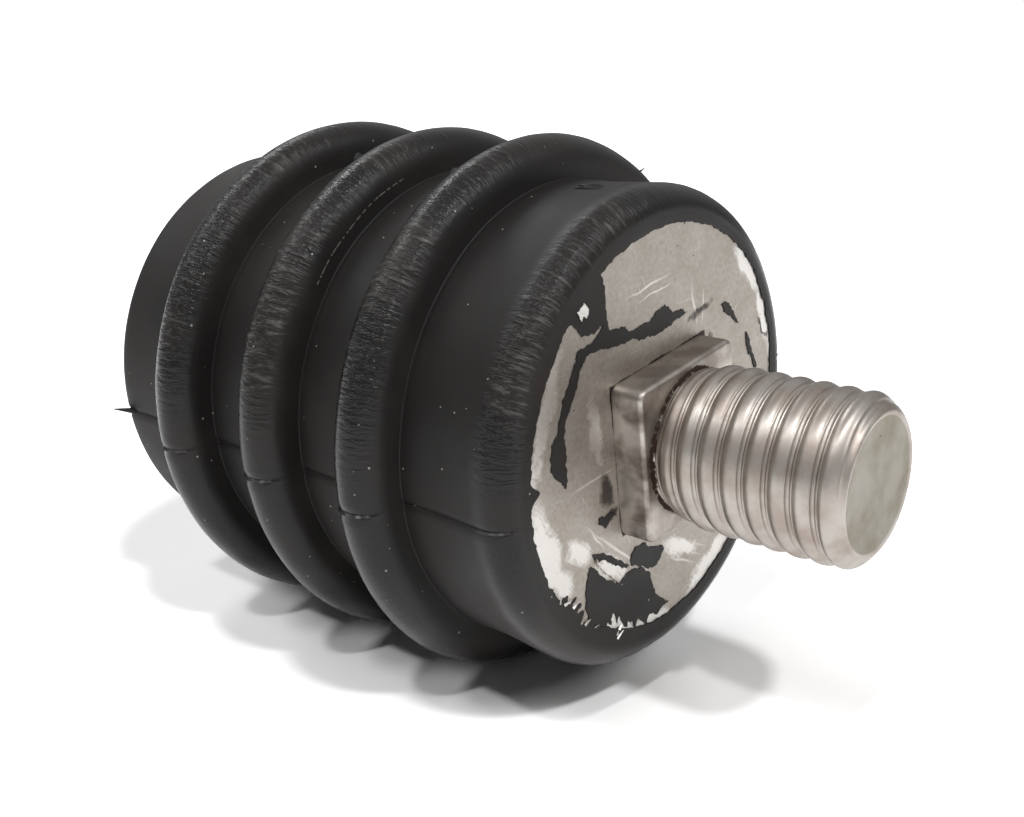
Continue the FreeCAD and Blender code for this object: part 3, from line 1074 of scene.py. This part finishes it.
@dataclass
class ThreadedStud:
    """The stud: round head, square neck that ends in the shoulder, and the coarse rolled thread.

    All sizes are in mm, and a share is one of the thread's pitch. The thread is right-handed,
    and its groove crosses the +X side at `groove_height`. Rolling has left a lip on each side
    of the groove, and rings on the run-out.
    """

    tip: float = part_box("threaded_stud")[1].z / MM
    foot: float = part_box("threaded_stud")[0].z / MM
    face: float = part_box("metal_core")[1].z / MM
    head_radius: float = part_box("threaded_stud")[1].x / MM
    head_thickness: float = 4.0
    half_square: float = 5.9
    shoulder_height: float = 2.5
    corner: float = 0.8
    bevel: float = 0.34
    neck_radius: float = 5.15
    neck_sunk: float = 0.4
    major_radius: float = 6.0
    pitch: float = 1.75
    groove_height: float = 49.97
    groove_share: float = 0.13
    groove_depth: float = 0.12
    lip_height: float = 0.12
    lip_share: float = 0.024
    crest_fall: float = 0.3
    runout_length: float = 3.2
    runout_power: float = 1.6
    ring_height: float = 0.05
    ring_pitch: float = 0.5
    ring_reach: float = 1.6
    end_radius: float = 4.95
    end_round: float = 1.15
    end_power: float = 1.8
    end_fade: float = 0.7
    end_land: float = 0.16
    dish_rim: float = 0.25
    dish_depth: float = 0.12
    columns: int = 144
    turns_below: int = 4
    fine_share: float = 0.017
    coarse_share: float = 0.045

    @property
    def shoulder_top(self) -> float:
        """Height of the shoulder's top."""
        return self.face + self.shoulder_height

    def envelope(self, height: float) -> float:
        """Radius of the thread's crests at one height.

        Args:
            height: height above the rear face.

        Returns:
            The radius, which falls towards the neck and the rounded end.
        """
        share = min(max((height - self.shoulder_top) / self.runout_length, 0), 1)
        rise = 1 - (1 - share) ** self.runout_power
        radius = self.neck_radius + (self.major_radius - self.neck_radius) * rise
        below = self.tip - height
        if below < self.end_round:
            sink = 1 - max(below, 0) / self.end_round
            radius -= (self.major_radius - self.end_radius) * sink ** self.end_power
        return radius

    def radius(self, height: float, turn: float) -> float:
        """Radius of the threaded surface.

        Args:
            height: height above the rear face.
            turn: angle round the axis, in radians.

        Returns:
            The radius there.
        """
        share = ((height - self.groove_height) / self.pitch - turn / math.tau) % 1
        off = min(share, 1 - share)
        above = max(height - self.shoulder_top, 0)
        if off < self.groove_share:
            deep = 0.5 + 0.5 * math.cos(math.pi * off / self.groove_share)
            fall = self.crest_fall + self.groove_depth * deep
        else:
            fall = self.crest_fall * ((0.5 - off) / (0.5 - self.groove_share)) ** 2
        fall -= self.lip_height * math.exp(-((off - self.groove_share) / self.lip_share) ** 2)
        rings = (self.ring_height * math.cos(math.tau * above / self.ring_pitch)
                 * max(0, 1 - above / self.ring_reach))
        # The thread starts shallow on the neck, and fades out at the end.
        depth = min(0.35 + above / 2.2, max(self.tip - height, 0) / self.end_fade, 1)
        return self.envelope(height) - fall * depth + rings

    def thread(self) -> bmesh.types.BMesh:
        """The threaded shank, swept as a helix and cut off level at both ends."""
        bm = bmesh.new()
        lowest = self.groove_height - self.turns_below * self.pitch
        doublings = math.ceil(math.log2((self.tip - lowest) / self.pitch + 1))
        shares = [0.0]
        while shares[-1] < 1:
            near = min(shares[-1], 1 - shares[-1]) < self.groove_share * 1.25
            step = self.fine_share if near else self.coarse_share
            shares.append(min(shares[-1] + step, 1.0))
        verts = [bm.verts.new((self.major_radius * MM, 0, (lowest + share * self.pitch) * MM))
                 for share in shares]
        edges = [bm.edges.new(pair) for pair in zip(verts, verts[1:])]
        bmesh.ops.spin(bm, geom=verts + edges, cent=(0, 0, 0), axis=UP, angle=math.tau,
                       dvec=(0, 0, self.pitch / self.columns * MM), steps=self.columns)
        for doubling in range(doublings):
            repeated(bm, Matrix.Translation((0, 0, self.pitch * 2 ** doubling * MM)))
        bmesh.ops.remove_doubles(bm, verts=bm.verts, dist=WELD * MM)
        for height, way in ((self.shoulder_top - self.neck_sunk, -1), (self.tip, 1)):
            bmesh.ops.bisect_plane(bm, geom=bm.verts[:] + bm.edges[:] + bm.faces[:],
                                   plane_co=(0, 0, height * MM), plane_no=(0, 0, way),
                                   clear_outer=True)
        for vert in bm.verts:
            turn = math.atan2(vert.co.y, vert.co.x)
            radius = self.radius(vert.co.z / MM, turn) * MM
            vert.co.x, vert.co.y = radius * math.cos(turn), radius * math.sin(turn)
        bmesh.ops.remove_doubles(bm, verts=bm.verts, dist=10 * WELD * MM)
        bmesh.ops.holes_fill(bm, edges=[edge for edge in bm.edges if edge.is_boundary])
        bmesh.ops.recalc_face_normals(bm, faces=bm.faces)
        end = max(bm.faces, key=lambda face: face.calc_center_median().z)
        for width, depth in ((self.end_land, 0), (self.dish_rim, -self.dish_depth)):
            bmesh.ops.inset_individual(bm, faces=[end], thickness=width * MM, depth=depth * MM)
        return bm

    def square(self) -> bmesh.types.BMesh:
        """The square neck, with rounded corners and a worn top edge."""
        bm = bmesh.new()
        low = self.foot + self.head_thickness
        width = 2 * self.half_square
        bmesh.ops.create_cube(bm, size=1.0)
        bmesh.ops.scale(bm, verts=bm.verts, vec=(width, width, self.shoulder_top - low))
        bmesh.ops.translate(bm, verts=bm.verts, vec=(0, 0, (self.shoulder_top + low) / 2))
        upright = [edge for edge in bm.edges if edge.verts[0].co.xy == edge.verts[1].co.xy]
        bmesh.ops.bevel(bm, geom=upright, offset=self.corner, offset_type="OFFSET",
                        affect="EDGES", segments=6, profile=0.5, material=-1)
        rim = [edge for edge in bm.edges
               if all(vert.co.z > self.shoulder_top - CLEARANCE for vert in edge.verts)]
        bmesh.ops.bevel(bm, geom=rim, offset=self.bevel, offset_type="OFFSET",
                        affect="EDGES", segments=4, profile=0.5, material=-1)
        bmesh.ops.scale(bm, verts=bm.verts, vec=(MM, MM, MM))
        return bm

    def head(self) -> bmesh.types.BMesh:
        """The round head that the core holds."""
        bm = bmesh.new()
        bmesh.ops.create_cone(bm, cap_ends=True, segments=96, radius1=self.head_radius,
                              radius2=self.head_radius, depth=self.head_thickness)
        bmesh.ops.translate(bm, verts=bm.verts,
                            vec=(0, 0, self.foot + self.head_thickness / 2))
        bmesh.ops.scale(bm, verts=bm.verts, vec=(MM, MM, MM))
        return bm

    def build(self, finish: TumbledStainless) -> None:
        """Builds the stud in place of its solid.

        Args:
            finish: the stud's finish.
        """
        bm = self.thread()
        joined(bm, self.square())
        joined(bm, self.head())
        piece = finished(bm, "stud", finish.make(self), sharp=40)
        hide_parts("threaded_stud")


@dataclass
class MetalCore:
    """The cast core, which keeps its solid and gets the finish of its scraped face."""

    half_square: float = ThreadedStud.half_square

    def build(self, finish: ScrapedAluminium) -> bpy.types.Material:
        """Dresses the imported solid.

        Args:
            finish: the core's finish.

        Returns:
            The core's material, which its torn bits share.
        """
        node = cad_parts["metal_core"]
        material = finish.make(self.half_square)
        node.data.materials.clear()
        node.data.materials.append(material)
        LOG.info("metal_core: dressed")
        return material


@dataclass(frozen=True)
class SoftLight:
    """One white lamp behind a round diffuser, far enough away to light the whole table alike.

    Attributes:
        name: its name.
        toward: direction from the mount to the lamp.
        spread: how wide it looks from the mount, in degrees.
        strength: its strength on a surface that faces it.
    """

    name: str
    toward: Spot
    spread: float
    strength: float


@dataclass
class Studio:
    """The camera of the photograph, the white table that the mount lies on, and soft light.

    The mount lies on its ribs in the photograph, so the table's top is a plane beside the axis,
    and `down` is the direction of gravity there. The table shows its upper side only. It is
    brighter by `table_seen` to the camera and in reflections than in the light that it gives
    back, and the room gives only a share of its brightness as light.
    """

    camera_place: Spot = (66.231, -38.511, 90.735)
    camera_aim: Spot = (0.484, 0.808, 29.297)
    down: Spot = (0.15849, 0.98736, 0.0)
    lens: float = 42.677
    sensor: float = 36.0
    near_clip: float = 5.0
    table_distance: float = 21.05
    table_side: float = 3000.0
    table_colour: str = "f2f2f2"
    table_seen: float = 2.2
    room_in_shade: float = 0.06
    lights: tuple[SoftLight, ...] = (
        SoftLight("front_lamp", (0.06, -0.86, 0.50), 5, 0.78),
        SoftLight("right_box", (-0.25, -0.66, 0.71), 25, 0.80),
        SoftLight("top_lamp", (0.33, -0.93, 0.14), 4, 0.44),
        SoftLight("left_lamp", (0.385, -0.88, -0.27), 12, 0.42),
        SoftLight("left_box", (0.17, -0.72, -0.67), 22, 0.38),
        SoftLight("rear_box", (-0.41, -0.61, -0.68), 15, 0.36),
    )

    def camera(self) -> None:
        """Places the camera and makes it the scene's own."""
        place = Vector(self.camera_place) * MM
        forward = (Vector(self.camera_aim) * MM - place).normalized()
        right = forward.cross(-Vector(self.down)).normalized()
        turn = Matrix((right, right.cross(forward), -forward)).transposed().to_4x4()
        data = bpy.data.cameras.new("photograph")
        data.lens = self.lens
        data.sensor_width = self.sensor
        data.clip_start = self.near_clip * MM
        camera = linked("photograph", data)
        camera.matrix_world = Matrix.Translation(place) @ turn
        bpy.context.scene.camera = camera

    def table(self) -> None:
        """Builds the white table top, which shows the mount's shadow."""
        down = Vector(self.down).normalized()
        bm = bmesh.new()
        bmesh.ops.create_grid(bm, x_segments=1, y_segments=1, size=self.table_side / 2 * MM)
        turn = (-down).to_track_quat("Z", "Y").to_matrix().to_4x4()
        lowered = Matrix.Translation(down * self.table_distance * MM)
        bmesh.ops.transform(bm, verts=bm.verts, matrix=lowered @ turn)
        mesh = bpy.data.meshes.new("table")
        bm.to_mesh(mesh)
        bm.free()
        material, add, _ = new_material("white_table")
        material.node_tree.nodes.clear()
        ray = add("LightPath")
        paper = linear(self.table_colour)
        glaring = (*(self.table_seen * c for c in paper[:3]), 1)
        matt, seen = (add("BsdfDiffuse", {"Color": colour}) for colour in (paper, glaring))
        looked_at = add("Math", MAXIMUM, {0: ray.outputs["Is Camera Ray"],
                                          1: ray.outputs["Is Glossy Ray"]})
        lit = add("MixShader", links={0: looked_at, 1: matt, 2: seen})
        side = add("NewGeometry").outputs["Backfacing"]
        upper = add("MixShader", links={0: side, 1: lit, 2: add("BsdfTransparent")})
        add("OutputMaterial", links={"Surface": upper})
        mesh.materials.append(material)
        linked("table", mesh)

    def lamps(self) -> None:
        """Hangs the softboxes."""
        for light in self.lights:
            data = bpy.data.lights.new(light.name, "SUN")
            data.angle = math.radians(light.spread)
            data.energy = light.strength
            lamp = linked(light.name, data)
            lamp.matrix_world = Vector(light.toward).to_track_quat("Z", "Y").to_matrix().to_4x4()

    def surroundings(self) -> None:
        """Makes the world: white where it is seen, and a dim room for the light it gives."""
        world = bpy.data.worlds.new("room")
        bpy.context.scene.world = world
        world.use_nodes = True
        world.node_tree.nodes.clear()
        add = partial(add_node, world.node_tree)
        ray = add("LightPath")
        rise = add("VectorMath", {"operation": "DOT_PRODUCT", 1: tuple(-v for v in self.down)},
                   {0: add("TexCoord").outputs["Generated"]})
        ceiling = add("MapRange", {**SMOOTH, "From Min": 0.05, "From Max": 0.6, "To Min": 0.2,
                                   "To Max": 0.55}, {"Value": rise})
        share = add("MapRange", {"To Min": self.room_in_shade},
                    {"Value": ray.outputs["Is Glossy Ray"]})
        level = add("Math", MULTIPLY, {0: ceiling, 1: share})
        white = {"Color": (1, 1, 1, 1)}
        shown = add("MixShader", links={0: ray.outputs["Is Camera Ray"],
                                        1: add("Background", white, {"Strength": level}),
                                        2: add("Background", white)})
        add("OutputWorld", links={"Surface": shown})

    def build(self) -> None:
        """Sets up the whole studio."""
        bpy.context.scene.view_settings.view_transform = "Standard"
        self.camera()
        self.table()
        self.lamps()
        self.surroundings()


def main() -> None:
    """Builds the mount and its studio."""
    logging.basicConfig(level=logging.INFO, format="%(name)s: %(message)s")
    noise.seed_set(SEED)
    rubber = RubberBody().build(MouldedRubber())
    metal = MetalCore().build(ScrapedAluminium())
    Scrapings().build(rubber, metal)
    ThreadedStud().build(TumbledStainless())
    Studio().build()


if __name__ == "__main__":
    main()
